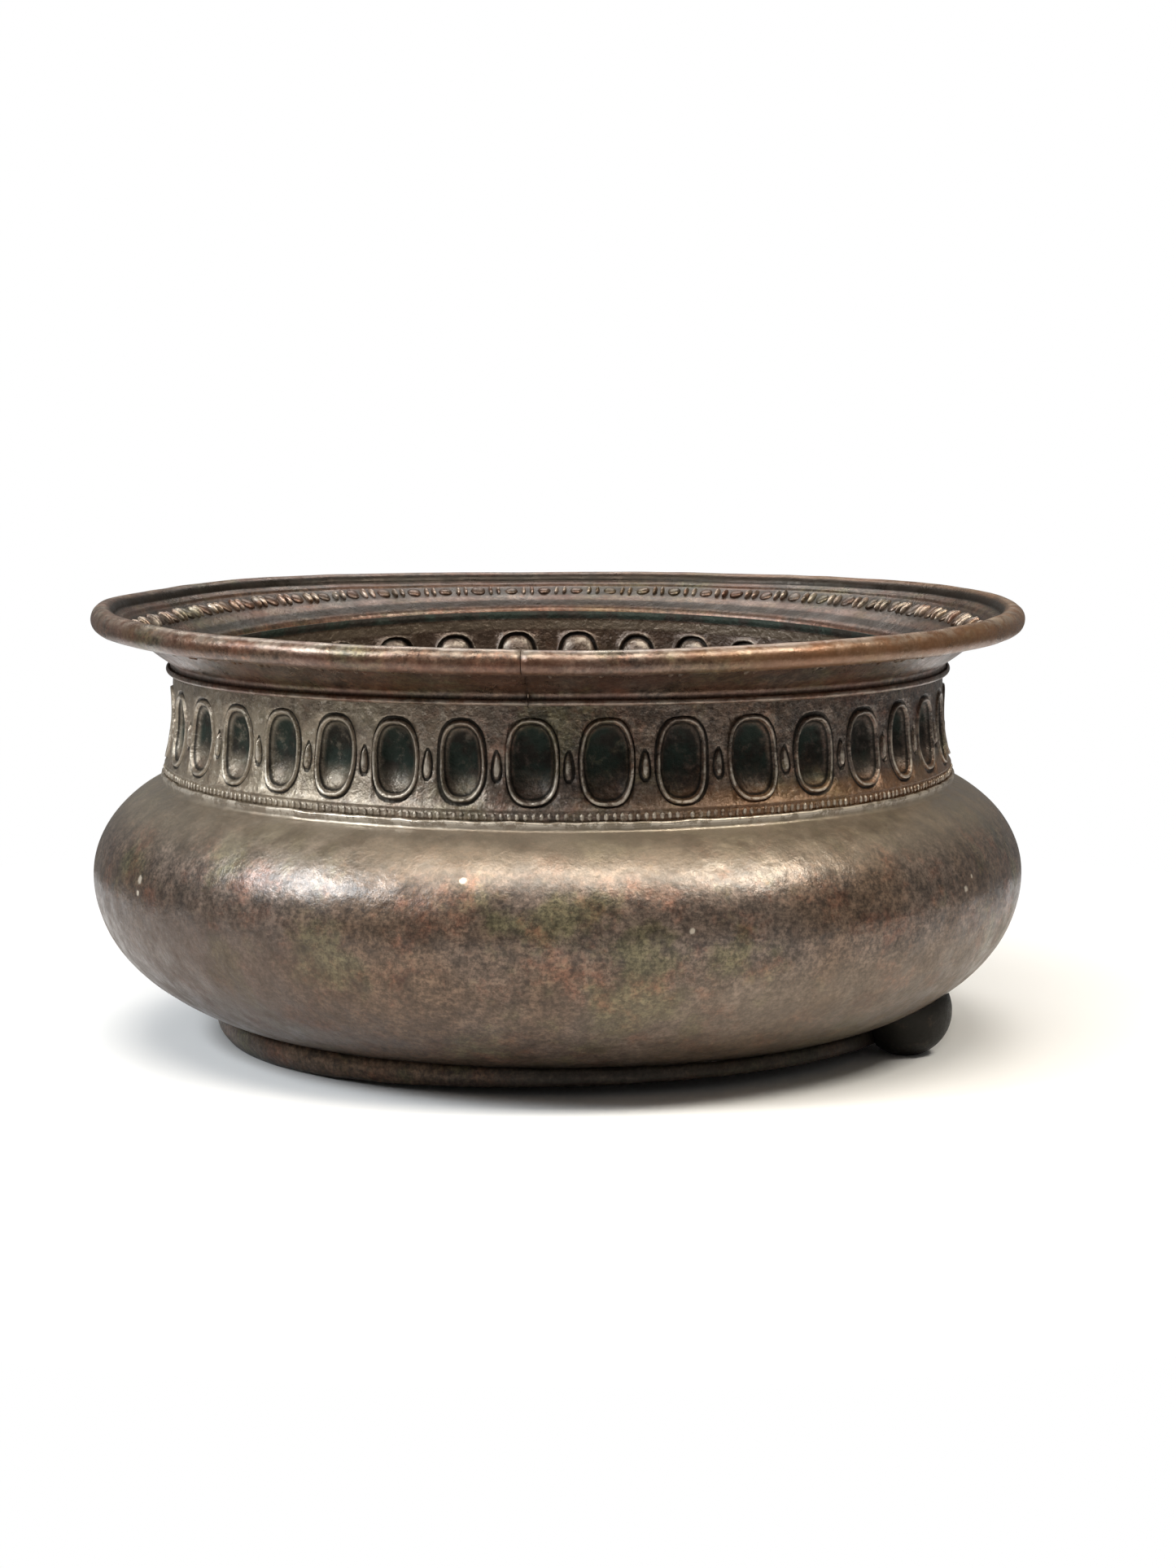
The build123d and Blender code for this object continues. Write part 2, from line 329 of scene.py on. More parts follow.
# An oval's rings from its edge in: half-width, half-length, height of the sheet, all in millimetres
OVAL_RINGS = (
    (10.4, 16.9, 0.0), (10.15, 16.55, -0.6), (9.8, 16.1, -0.85), (9.4, 15.7, 0.05), (9.0, 15.25, 0.9),
    (8.6, 14.8, 0.9), (8.15, 14.2, 0.3), (7.6, 13.4, -0.7), (6.9, 12.4, -1.6), (5.9, 10.9, -2.5),
    (4.4, 8.4, -3.3), (2.4, 5.0, -3.8),
)
# A drop's rings, the same way
DROP_RINGS = (
    (3.0, 6.8, 0.0), (2.75, 6.4, -0.5), (2.3, 5.8, -0.85), (1.75, 4.9, -0.1), (1.2, 3.9, 0.75),
    (0.6, 2.4, 1.05),
)
OVAL_COLUMNS = 8
OVAL_ROWS = 12
DROP_COLUMNS = 3
DROP_ROWS = 5
DROP_FIRST_ROW = 3
OVAL_CORNER = 2.6       # power of the superellipse that the ovals follow
SPACER = 0.2 * MM


def neck_outside(height, neck):
    """Radius of the neck band's outside at a height, with its milled bead and fine line."""
    waist = neck.oval_height + 5 * MM
    sink = min(max((waist - height) / (waist - LINE_TOP), 0), 1)
    radius = neck.radius + neck.spread * sink * sink
    if SEAM < height < SEAM + BEAD_HEIGHT:
        radius += BEAD_SWELL * math.sin(math.pi * (height - SEAM) / BEAD_HEIGHT)
    elif SEAM + BEAD_HEIGHT < height < LINE_TOP:
        radius += LINE_SWELL * math.sin(math.pi * (height - SEAM - BEAD_HEIGHT) / LINE_HEIGHT)
    return radius


def lobe(turn, half_width, half_length, power, pinch):
    """A point of a squared ellipse; pinch narrows its upper end to a drop."""
    c = math.cos(turn)
    s = math.sin(turn)
    x = half_width * math.copysign(abs(c) ** (2 / power), c)
    y = half_length * math.copysign(abs(s) ** (2 / power), s)
    return x * (1 - pinch * (1 + s) / 2), y


def sink_rings(bm, cell, middle, rings, power, pinch, hand):
    """Opens the block of faces in cell and fills it with rings that follow the motif, each at its height."""
    boundary = [e for e in {e for f in cell for e in f.edges} if sum(f in cell for f in e.link_faces) == 1]
    corners = list({v for e in boundary for v in e.verts})
    half_x = max(abs(v.co.x - middle.x) for v in corners)
    half_y = max(abs(v.co.y - middle.y) for v in corners)
    turns = {v: math.atan2((v.co.y - middle.y) / half_y, (v.co.x - middle.x) / half_x) for v in corners}
    bmesh.ops.delete(bm, geom=list(cell), context="FACES")
    boundary = [e for e in boundary if e.is_valid]
    for level, (half_width, half_length, rise) in enumerate(rings):
        made = bmesh.ops.extrude_edge_only(bm, edges=boundary)["geom"]
        fresh = [g for g in made if isinstance(g, bmesh.types.BMVert)]
        moved = {}
        for v in fresh:
            old = next(e.other_vert(v) for e in v.link_edges if e.other_vert(v) in turns)
            moved[v] = turns[old]
        own = min(level, 2) / 2
        for v, turn in moved.items():
            x, y = lobe(turn, half_width * MM, half_length * MM, power, pinch)
            lean = hand["lean"] * own
            v.co = Vector((
                middle.x + x * (1 + hand["wide"] * own) - y * lean + hand["x"] * own,
                middle.y + y * (1 + hand["long"] * own) + x * lean + hand["y"] * own,
                rise * MM * (1 + hand["deep"] * own),
            ))
        boundary = [e for e in made if isinstance(e, bmesh.types.BMEdge) and all(v in moved for v in e.verts)]
        turns = moved
    cap = bmesh.ops.edgeloop_fill(bm, edges=boundary)["faces"]
    bmesh.ops.poke(bm, faces=cap)


def neck_tile(pitch, heights, neck, rng):
    """One oval and the drop beside it, laid out flat: x along the band, y up, z out."""
    bm = bmesh.new()
    columns = 1 + OVAL_COLUMNS + 1 + DROP_COLUMNS + 1
    rows = len(heights) - 1
    oval_half = OVAL_RINGS[0][0] * MM + 0.1 * MM
    drop_width = pitch - 2 * oval_half - 2 * SPACER
    stops = [-oval_half - SPACER / 2]
    stops += [-oval_half + 2 * oval_half * i / OVAL_COLUMNS for i in range(OVAL_COLUMNS + 1)]
    stops += [oval_half + SPACER + drop_width * i / DROP_COLUMNS for i in range(DROP_COLUMNS + 1)]
    stops.append(pitch - oval_half - SPACER / 2)
    grid = bmesh.ops.create_grid(bm, x_segments=columns, y_segments=rows, size=1)["verts"]
    faces = {f for v in grid for f in v.link_faces}
    for v in grid:
        column = round((v.co.x + 1) / 2 * columns)
        row = round((v.co.y + 1) / 2 * rows)
        v.co = Vector((stops[column], heights[row], 0))
    first_row = heights.index(LINE_TOP)

    def block(x_low, x_high, row_low, row_high):
        y_low = heights[row_low]
        y_high = heights[row_high]
        centres = {f: f.calc_center_median() for f in faces if f.is_valid}
        return {f for f, c in centres.items() if x_low < c.x < x_high and y_low < c.y < y_high}

    def by_hand(reach):
        names = {"x": reach, "y": reach, "wide": 0.07, "long": 0.05, "lean": 0.05, "deep": 0.2}
        return {name: rng.uniform(-1, 1) * size for name, size in names.items()}

    oval = block(-oval_half, oval_half, first_row, first_row + OVAL_ROWS)
    drop_low = first_row + DROP_FIRST_ROW
    drop = block(oval_half + SPACER, pitch - oval_half - SPACER, drop_low, drop_low + DROP_ROWS)
    drop_middle = Vector((pitch / 2, (heights[drop_low] + heights[drop_low + DROP_ROWS]) / 2, 0))
    sink_rings(
        bm, oval, Vector((0, neck.oval_height, 0)), OVAL_RINGS, OVAL_CORNER, 0, by_hand(neck.unevenness / 2))
    sink_rings(bm, drop, drop_middle, DROP_RINGS, 2, 0.45, by_hand(neck.unevenness / 3))
    return bm


def neck_sheet(neck):
    """The neck band's sheet with its relief, wrapped round the pot."""
    rng = random.Random(36)
    pitch = neck.radius * math.tau / neck.ovals
    oval_half = OVAL_RINGS[0][1] * MM + 0.15 * MM
    below = [NECK_LOW.z, (NECK_LOW.z + SEAM) / 2, SEAM - 0.2 * MM, SEAM]
    bead = [SEAM + BEAD_HEIGHT * i / 6 for i in range(1, 7)]
    line = [SEAM + BEAD_HEIGHT + LINE_HEIGHT * i / 4 for i in range(1, 4)] + [LINE_TOP]
    ovals_top = neck.oval_height + oval_half
    ovals = [LINE_TOP + (ovals_top - LINE_TOP) * i / OVAL_ROWS for i in range(1, OVAL_ROWS + 1)]
    margin = [ovals_top + (NECK_HIGH.z - ovals_top) * i / 4 for i in range(1, 5)]
    heights = below + bead + line + ovals + margin
    bm = bmesh.new()
    for i in range(neck.ovals):
        tile = neck_tile(pitch, heights, neck, rng)
        bmesh.ops.translate(tile, verts=tile.verts[:], vec=(pitch * i, 0, 0))
        poured(bm, tile)
    relief = bm.verts.layers.float.new("relief")
    for v in bm.verts:
        v[relief] = v.co.z / MM
        turn = neck.first_oval + v.co.x / neck.radius
        turn += neck.drift / neck.radius * (1 - math.cos(4 * (turn - neck.first_oval)))
        radius = neck_outside(v.co.y, neck) + v.co.z
        v.co = Vector((radius * math.cos(turn), radius * math.sin(turn), v.co.y))
    bmesh.ops.remove_doubles(bm, verts=bm.verts[:], dist=0.02 * MM)
    bmesh.ops.recalc_face_normals(bm, faces=bm.faces[:])
    outward = sum(f.normal.xy.dot(f.calc_center_median().xy) for f in bm.faces)
    if outward < 0:
        bmesh.ops.reverse_faces(bm, faces=bm.faces[:])
    return bm


def ticks(neck):
    """The milled bead's ticks, small upright lozenges round the foot of the neck."""
    height = SEAM + BEAD_HEIGHT * 0.5
    place = Matrix.Translation((neck_outside(height, neck), 0, height)) @ Matrix.Diagonal(
        (0.55 * MM, 0.95 * MM, 1.6 * MM, 1))
    bm = bmesh.new()
    bmesh.ops.create_icosphere(bm, subdivisions=1, radius=1, matrix=place)
    repeat(bm, math.tau / neck.ticks, neck.ticks)
    wander(bm, 5 * MM, 0.35 * MM, 2)
    tell(bm, "relief", lambda v: 0.9)
    return bm


# ---------------------------------------------------------------- finishes

WAX_ROUGHNESS = 0.24
DIRTY_SPECULAR = 0.25   # specular level of metal whose hollows are full of dirt


class Finish:
    """A node material put together step by step."""

    def __init__(self, name):
        self.material = bpy.data.materials.new(name)
        self.material.use_nodes = True
        self.tree = self.material.node_tree
        self.tree.nodes.clear()
        output = self.add("ShaderNodeOutputMaterial")
        self.shader = self.add("ShaderNodeBsdfPrincipled")
        self.link(self.shader.outputs["BSDF"], output.inputs["Surface"])
        self.place = self.add("ShaderNodeTexCoord").outputs["Object"]

    def add(self, kind, **settings):
        node = self.tree.nodes.new(kind)
        for name, value in settings.items():
            setattr(node, name, value)
        return node

    def link(self, source, target):
        self.tree.links.new(source, target)

    def feed(self, socket, value):
        """Sets a socket to a number or colour, or links it to another node's output."""
        if isinstance(value, bpy.types.NodeSocket):
            self.link(value, socket)
        else:
            socket.default_value = value

    def lumps(self, size, detail=3.0, rough=0.55, stretch=(1, 1, 1), shift=0.0):
        """Noise from 0 to 1 whose lumps have that size in millimetres."""
        mapping = self.add("ShaderNodeMapping")
        mapping.inputs["Scale"].default_value = [s / (size * MM) for s in stretch]
        mapping.inputs["Location"].default_value = (shift, shift * 1.7, shift * 0.6)
        self.link(self.place, mapping.inputs["Vector"])
        node = self.add("ShaderNodeTexNoise")
        for name, value in (("Scale", 1), ("Detail", detail), ("Roughness", rough)):
            node.inputs[name].default_value = value
        self.link(mapping.outputs["Vector"], node.inputs["Vector"])
        return node.outputs["Fac"]

    def spot(self, place, size):
        """1 inside a small round spot, ragged at its edge; place and size in millimetres."""
        node = self.add("ShaderNodeVectorMath", operation="DISTANCE")
        self.link(self.place, node.inputs[0])
        node.inputs[1].default_value = [c * MM for c in place]
        ragged = self.times(self.lumps(2.5, 3, 0.6), size * 0.9 * MM)
        reach = self.sum("ADD", node.outputs["Value"], ragged)
        return self.between(reach, size * 1.2 * MM, size * 0.8 * MM)

    def dimples(self, size):
        """Round hammer marks of that size in millimetres."""
        node = self.add("ShaderNodeTexVoronoi", feature="SMOOTH_F1")
        node.inputs["Scale"].default_value = 1 / (size * MM)
        node.inputs["Smoothness"].default_value = 0.7
        self.link(self.place, node.inputs["Vector"])
        return node.outputs["Distance"]

    def between(self, value, low, high, start=0.0, end=1.0):
        """Maps low..high to start..end, smoothly and clamped."""
        node = self.add("ShaderNodeMapRange", interpolation_type="SMOOTHSTEP")
        self.feed(node.inputs["Value"], value)
        ends = (("From Min", low), ("From Max", high), ("To Min", start), ("To Max", end))
        for name, limit in ends:
            node.inputs[name].default_value = limit
        return node.outputs["Result"]

    def sum(self, operation, first, second=0.0):
        node = self.add("ShaderNodeMath", operation=operation)
        self.feed(node.inputs[0], first)
        self.feed(node.inputs[1], second)
        return node.outputs["Value"]

    def times(self, first, second):
        return self.sum("MULTIPLY", first, second)

    def over(self, colour, paint, mask, share):
        """Lays paint over a colour where the mask is, at that share of its strength."""
        return self.blend(self.times(mask, share), colour, paint)

    def blend(self, share, first, second, mode="MIX"):
        """Mixes two colours."""
        node = self.add("ShaderNodeMix", data_type="RGBA", blend_type=mode)
        sockets = [s for s in node.inputs if s.type == "RGBA"]
        self.feed(node.inputs["Factor"], share)
        for socket, value in zip(sockets, (first, second)):
            self.feed(socket, value if isinstance(value, bpy.types.NodeSocket) else (*value, 1))
        return next(s for s in node.outputs if s.type == "RGBA")

    def stored(self, name):
        return self.add("ShaderNodeAttribute", attribute_name=name).outputs["Fac"]

    def axis(self, name):
        """One coordinate of the pot, in metres."""
        split = self.add("ShaderNodeSeparateXYZ")
        self.link(self.place, split.inputs["Vector"])
        return split.outputs[name]

    def bump(self, height, reach, under=None):
        """Raises the surface by height (0 to 1) times reach in millimetres."""
        node = self.add("ShaderNodeBump")
        node.inputs["Strength"].default_value = 1
        node.inputs["Distance"].default_value = reach * MM
        self.link(height, node.inputs["Height"])
        if under is not None:
            self.link(under, node.inputs["Normal"])
        return node.outputs["Normal"]

    def close(self, colour, roughness, metallic, normal=None, wax=0.0, specular=0.5):
        """Feeds the shader and gives back the finished material."""
        inputs = self.shader.inputs
        self.feed(inputs["Base Color"], colour)
        self.feed(inputs["Coat Weight"], wax)
        inputs["Coat Roughness"].default_value = WAX_ROUGHNESS
        inputs["Specular IOR Level"].default_value = specular
        self.feed(inputs["Roughness"], roughness)
        self.feed(inputs["Metallic"], metallic)
        if normal is not None:
            self.link(normal, inputs["Normal"])
            self.link(normal, inputs["Coat Normal"])
        return self.material


def patina(look, paint, shift, browns=(0.42, 0.60)):
    """The old metal's colour: soft wide clouds, warmer patches, scratches and a fine speckle."""
    wide = look.lumps(85, 3, 0.55, shift=shift)
    patchy = look.lumps(40, 5, 0.65, shift=shift + 3)
    colour = look.blend(look.between(wide, *browns), paint.brown, paint.grey)
    colour = look.blend(look.between(patchy, 0.50, 0.62), colour, paint.olive)
    spots = look.between(look.lumps(20, 8, 0.75, shift=shift + 11), 0.49, 0.70)
    colour = look.over(colour, paint.red, spots, 0.6)
    coarse = look.between(look.lumps(7, 6, 0.75, shift=shift + 7), 0.36, 0.64, 0.62, 1.34)
    fine = look.between(look.lumps(1.9, 4, 0.75, shift=shift + 9), 0.36, 0.64, 0.56, 1.42)
    rubs = look.between(look.lumps(3, 4, 0.7, (0.35, 0.35, 2.2), shift + 13), 0.36, 0.66, 0.86, 1.14)
    speck = look.times(look.times(coarse, fine), rubs)
    shade = look.add("ShaderNodeCombineColor")
    for name in ("Red", "Green", "Blue"):
        look.link(speck, shade.inputs[name])
    return look.blend(1.0, colour, shade.outputs["Color"], "MULTIPLY")


# Bare nicks in the bowl's patina: turn in degrees, height and size in millimetres
BOWL_NICKS = (
    (-149, 77, 2.6), (-149, 72, 1.8), (-101, 90, 2.3), (-75, 72, 1.8), (-34, 75, 2.2), (-32, 79, 1.6),
)


def on_shoulder(bowl, turn, height):
    """The point of the bowl's shoulder at a turn in degrees and a height; lengths in millimetres."""
    rise = (height * MM - bowl.belly_height) / bowl.shoulder_rise
    radius = bowl.shoulder_middle + (BOWL_HIGH.x - bowl.shoulder_middle) * math.sqrt(1 - rise * rise)
    turn = math.radians(turn)
    return radius / MM * math.cos(turn), radius / MM * math.sin(turn), height


def bowl_finish(paint, bowl):
    look = Finish("bowl_patina")
    colour = patina(look, paint, 0.0)
    height = look.axis("Z")
    upper = look.between(height, 0.084, 0.104)
    lower = look.between(height, 0.066, 0.030)
    # Tan dust bloom and painted light on the upper shoulder, which faces the lamps above.
    colour = look.over(colour, paint.dust, upper, 0.70)
    # Painted shade under the belly.
    colour = look.over(colour, paint.shade, lower, 0.40)
    # Painted shade over the belly's lower left.
    left = look.between(look.axis("X"), -0.03, -0.15)
    left = look.times(left, look.between(height, 0.080, 0.060))
    colour = look.over(colour, paint.shade, left, 0.8)
    right = look.between(look.axis("X"), -0.02, 0.10)
    ashen = look.times(right, look.between(height, 0.064, 0.046))
    colour = look.over(colour, paint.dust, ashen, 0.18)
    # Painted shade along the bottom edge, where the belly turns under towards the foot ring.
    colour = look.blend(look.between(height, 0.018, 0.009), colour, paint.dark)
    bare = look.times(look.stored("rubbed"), look.between(look.lumps(11, 7, 0.8), 0.47, 0.53))
    for turn, rise, size in BOWL_NICKS:
        bare = look.sum("MAXIMUM", bare, look.spot(on_shoulder(bowl, turn, rise), size))
    colour = look.blend(bare, colour, paint.bright)
    grain = look.lumps(3.2, 6, 0.7, shift=2)
    roughness = look.between(look.lumps(14, 7, 0.75, shift=5), 0.34, 0.66, 0.30, 0.56)
    waxed = look.between(height, 0.050, 0.085, 0.1, 1.0)
    coat = look.times(waxed, look.between(grain, 0.3, 0.7, 0.5, 1.1))
    normal = look.bump(look.dimples(13), 0.5)
    normal = look.bump(look.lumps(9, 4, 0.6, shift=9), 0.35, normal)
    normal = look.bump(grain, 0.16, normal)
    return look.close(colour, roughness, 0.6, normal, wax=coat)


def neck_finish(paint):
    look = Finish("neck_patina")
    colour = patina(look, paint, 20.0, (0.35, 0.55))
    relief = look.stored("relief")
    inner = look.stored("inner")
    level = look.stored("level")
    # Painted light on the neck's left front, laid on as tan dust with a lumpy edge.
    front = look.between(look.axis("Y"), 0.06, 0.0)
    left = look.times(look.between(look.axis("X"), 0.01, -0.11), front)
    painted_left_light = look.times(left, look.between(look.lumps(9, 5, 0.7), 0.3, 0.6, 0.3, 1.0))
    colour = look.over(colour, paint.dust, painted_left_light, 0.9)
    # Painted light: the lower right of the neck laid orange-brown where light falls below the rim's shade.
    painted_light_band = look.times(look.between(look.axis("X"), 0.0, 0.09), look.between(level, 0.122, 0.117))
    colour = look.over(colour, paint.orange, painted_light_band, 0.5)
    # Bright scuffs all round, strengthened over the lit left front as painted glints.
    scuffs_and_painted_glints = look.between(look.lumps(3.5, 7, 0.8, shift=17), 0.53, 0.62)
    scuffs_and_painted_glints = look.times(scuffs_and_painted_glints, look.between(left, 0, 1, 0.3, 1.0))
    colour = look.over(colour, paint.bright, scuffs_and_painted_glints, 0.6)
    # Painted shade over the neck's inside, with a paler tan band along its top margin.
    colour = look.over(colour, paint.shade, inner, 0.78)
    margin = look.times(look.between(level, 0.1475, 0.1490), look.between(level, 0.1524, 0.1516))
    colour = look.over(colour, paint.dust, look.times(inner, margin), 0.3)
    # Painted shade in the throat, where the rim meets the neck's inside.
    throat_painted_shade = look.times(inner, look.between(level, 0.1522, 0.1532))
    hollow = look.between(relief, -0.5, -2.6)
    deep = look.blend(look.between(look.lumps(11, 4, 0.6, shift=1), 0.42, 0.6), paint.dark, paint.green)
    uneven = look.between(look.lumps(5, 5, 0.7, shift=3), 0.3, 0.5, 0.65, 1.0)
    # Dark patina in the ovals' hollows, deepened towards the top as painted shade under the rim.
    soot_and_painted_shade = look.times(look.between(level, 0.119, 0.129, 0.2, 0.96), uneven)
    soot_and_painted_shade = look.sum("MAXIMUM", look.times(hollow, soot_and_painted_shade), look.times(throat_painted_shade, 0.9))
    colour = look.blend(soot_and_painted_shade, colour, deep)
    groove = look.times(look.between(relief, -0.05, -0.4), look.between(relief, -1.6, -0.7))
    colour = look.over(colour, paint.dark, groove, 0.9)
    ridge = look.times(look.between(relief, 0.3, 0.85), look.between(relief, 2.4, 1.2))
    worn = look.between(look.lumps(6, 5, 0.7, shift=4), 0.38, 0.56)
    worn = look.times(worn, look.between(level, 0.136, 0.124, 0.4, 1.0))
    colour = look.over(colour, paint.bright, look.times(ridge, worn), 0.85)
    grain = look.lumps(2.6, 6, 0.7, shift=2)
    clean = look.sum("SUBTRACT", 1.0, look.sum("MAXIMUM", soot_and_painted_shade, groove))
    roughness = look.sum("ADD", look.between(grain, 0.3, 0.7, 0.26, 0.50), look.times(soot_and_painted_shade, 0.30))
    normal = look.bump(look.lumps(6, 5, 0.65, shift=9), 1.1)
    normal = look.bump(grain, 0.3, normal)
    wax = look.times(clean, 0.7)
    return look.close(colour, roughness, 0.65, normal, wax, DIRTY_SPECULAR)


def rim_finish(paint):
    look = Finish("rim_patina")
    colour = patina(look, paint, 40.0)
    hollow = look.stored("hollow")
    clean = look.sum("SUBTRACT", 1.0, hollow)
    redder = look.between(look.lumps(30, 4, 0.6, (1, 1, 3), 3), 0.38, 0.6)
    colour = look.over(colour, paint.red, redder, 0.4)
    right = look.times(look.between(look.axis("X"), 0.02, 0.12), look.stored("edge"))
    colour = look.over(colour, paint.orange, right, 0.45)
    # The hollow attribute darkens the roll's crease and the bead row, and lays painted shade in the collar's
    # bend and under the flare.
    colour = look.over(colour, paint.dark, hollow, 0.92)
    patches = look.between(look.lumps(8, 5, 0.6, (1, 1, 2), 6), 0.4, 0.62)
    bare = look.times(look.stored("rubbed"), patches)
    colour = look.over(colour, paint.bright, bare, 0.35)
    grain = look.lumps(2.8, 6, 0.7, shift=2)
    roughness = look.between(look.lumps(14, 6, 0.7, shift=5), 0.34, 0.66, 0.24, 0.48)
    normal = look.bump(look.lumps(10, 5, 0.6, shift=9), 0.5)
    normal = look.bump(grain, 0.18, normal)
    wax = look.times(clean, 0.5)
    return look.close(colour, roughness, 0.6, normal, wax, DIRTY_SPECULAR)


def foot_finish(paint):
    look = Finish("foot_patina")
    colour = patina(look, paint, 60.0)
    # Painted shade: the ring darkened over its right half and along its bottom edge, where the belly's shadow
    # falls.
    front = look.between(look.axis("X"), -0.09, 0.0)
    painted_bottom_shade = look.between(look.axis("Z"), 0.004, 0.0, 0.2, 0.8)
    dirt = look.sum("MAXIMUM", look.times(front, 0.8), painted_bottom_shade)
    colour = look.blend(dirt, colour, paint.dark)
    grain = look.lumps(2.6, 6, 0.7)
    normal = look.bump(look.lumps(7, 3, 0.5), 0.35)
    return look.close(colour, look.between(grain, 0.25, 0.75, 0.38, 0.6), 0.7, look.bump(grain, 0.15, normal))


# The levelling foot's finish: near-black with a little worn brown. It is a dark lump standing where the
# belly's contact shadow falls, so its darkness is painted shade.
def shadow_lump_finish(paint):
    look = Finish("shadow_lump_black")
    worn = look.between(look.lumps(9, 5, 0.7), 0.55, 0.7)
    colour = look.blend(look.times(worn, 0.3), paint.dark, paint.brown)
    grain = look.lumps(2.0, 6, 0.7)
    normal = look.bump(grain, 0.2, look.bump(look.lumps(9, 3, 0.5), 0.5))
    roughness = look.between(grain, 0.25, 0.75, 0.42, 0.62)
    return look.close(colour, roughness, 0.5, normal, specular=DIRTY_SPECULAR)


def solder_finish(paint):
    look = Finish("solder_grey")
    dull = look.between(look.lumps(4, 5, 0.7), 0.35, 0.7)
    colour = look.blend(dull, paint.solder, paint.grey)
    normal = look.bump(look.lumps(2.5, 5, 0.6), 0.3)
    return look.close(colour, look.between(look.lumps(3, 3, 0.6, shift=4), 0.3, 0.7, 0.25, 0.5), 0.9, normal)


def wire_finish(paint):
    look = Finish("iron_wire")
    rust = look.between(look.lumps(6, 5, 0.7), 0.45, 0.65)
    colour = look.blend(rust, (0.30, 0.28, 0.26), paint.red)
    return look.close(colour, look.between(rust, 0, 1, 0.4, 0.8), 0.8, look.bump(look.lumps(2, 4, 0.6), 0.1))


def floor_finish():
    """A pale floor that melts into the backdrop away from the pot."""
    look = Finish("pale_floor")
    tone = look.blend(look.lumps(300, 2, 0.5), (0.90, 0.90, 0.90), (0.94, 0.94, 0.94))
    away = look.add("ShaderNodeVectorMath", operation="LENGTH")
    look.link(look.place, away.inputs[0])
    glow = look.between(away.outputs["Value"], 0.23, 0.46)
    look.shader.inputs["Emission Color"].default_value = (1, 1, 1, 1)
    look.link(glow, look.shader.inputs["Emission Strength"])
    return look.close(look.blend(glow, tone, (0, 0, 0)), 1.0, 0.0)


# ---------------------------------------------------------------- operators

class PLANTER_OT_bowl(bpy.types.Operator):
    """Raise the bowl: flat bottom, lower belly, shoulder and the lip that the neck stands in"""

    bl_idname = "planter.bowl"
    bl_label = "Raise the bowl"

    def execute(self, context):
        bowl = context.scene.planter_bowl
        middle = bowl.shoulder_middle
        belly = BOWL_HIGH.x
        lower_middle = (bowl.base_radius, bowl.belly_height)
        lower = (belly - bowl.base_radius, bowl.belly_height - BOWL_LOW.z)
        upper = (belly - middle, bowl.shoulder_rise)
        lip_inside = bowl.lip_radius - bowl.wall
        lip_turn = math.degrees(math.acos((bowl.lip_radius - middle) / upper[0]))
        inner_turn = math.degrees(math.acos((lip_inside - middle) / (upper[0] - bowl.wall)))
        thinner = (lower[0] - bowl.wall, lower[1] - bowl.wall)
        thinner_up = (upper[0] - bowl.wall, upper[1] - bowl.wall)
        base = [(0, BOWL_LOW.z), *run((0, BOWL_LOW.z), (bowl.base_radius, BOWL_LOW.z), 12)]
        outside = arc(lower_middle, lower, -90, 0, 40)
        outside += arc((middle, bowl.belly_height), upper, 0, lip_turn, 26)[1:]
        under_lip = outside[-1]
        lip_top = SEAM
        lip = [
            (bowl.lip_radius + 0.15 * MM, (under_lip[1] + lip_top) / 2),
            (bowl.lip_radius + 0.5 * MM, lip_top - 1.1 * MM),
            (bowl.lip_radius + 0.3 * MM, lip_top - 0.2 * MM),
            (bowl.lip_radius - 0.4 * MM, lip_top),
            (lip_inside, lip_top - 0.3 * MM),
        ]
        inside = arc((middle, bowl.belly_height), thinner_up, inner_turn, 0, 26)
        inside += arc(lower_middle, thinner, 0, -90, 40)[1:]
        floor = BOWL_LOW.z + bowl.wall
        floor_run = [*run((bowl.base_radius, floor), (0, floor), 12), (0, floor)]
        bm = spun(base + outside + lip + inside + floor_run, ROUND_STEPS, closed=False)

        def free(co):
            return smoothstep(co.z, BOWL_LOW.z, 20 * MM) * (1 - 0.8 * smoothstep(co.z, 100 * MM, SEAM))

        wander(bm, 60 * MM, bowl.unevenness, 1, free)
        wander(bm, 18 * MM, bowl.unevenness * 0.25, 4, free)
        for v in bm.verts:
            near = smoothstep(v.co.z, under_lip[1] - 1 * MM, lip_top - 1 * MM)
            if near:
                turn = turn_of(v.co)
                ripple = noise.noise(Vector((turn * 14, 0, 3))) + 0.6 * noise.noise(Vector((turn * 45, 0, 8)))
                v.co.z += ripple * near * 0.55 * MM
        tell(bm, "rubbed", lambda v: smoothstep(v.co.z, lip_top - 2.4 * MM, lip_top - 1.2 * MM))
        material = bowl_finish(context.scene.planter_finish, bowl)
        finished(bm, "bowl", material, ["body_bowl"])
        return {"FINISHED"}


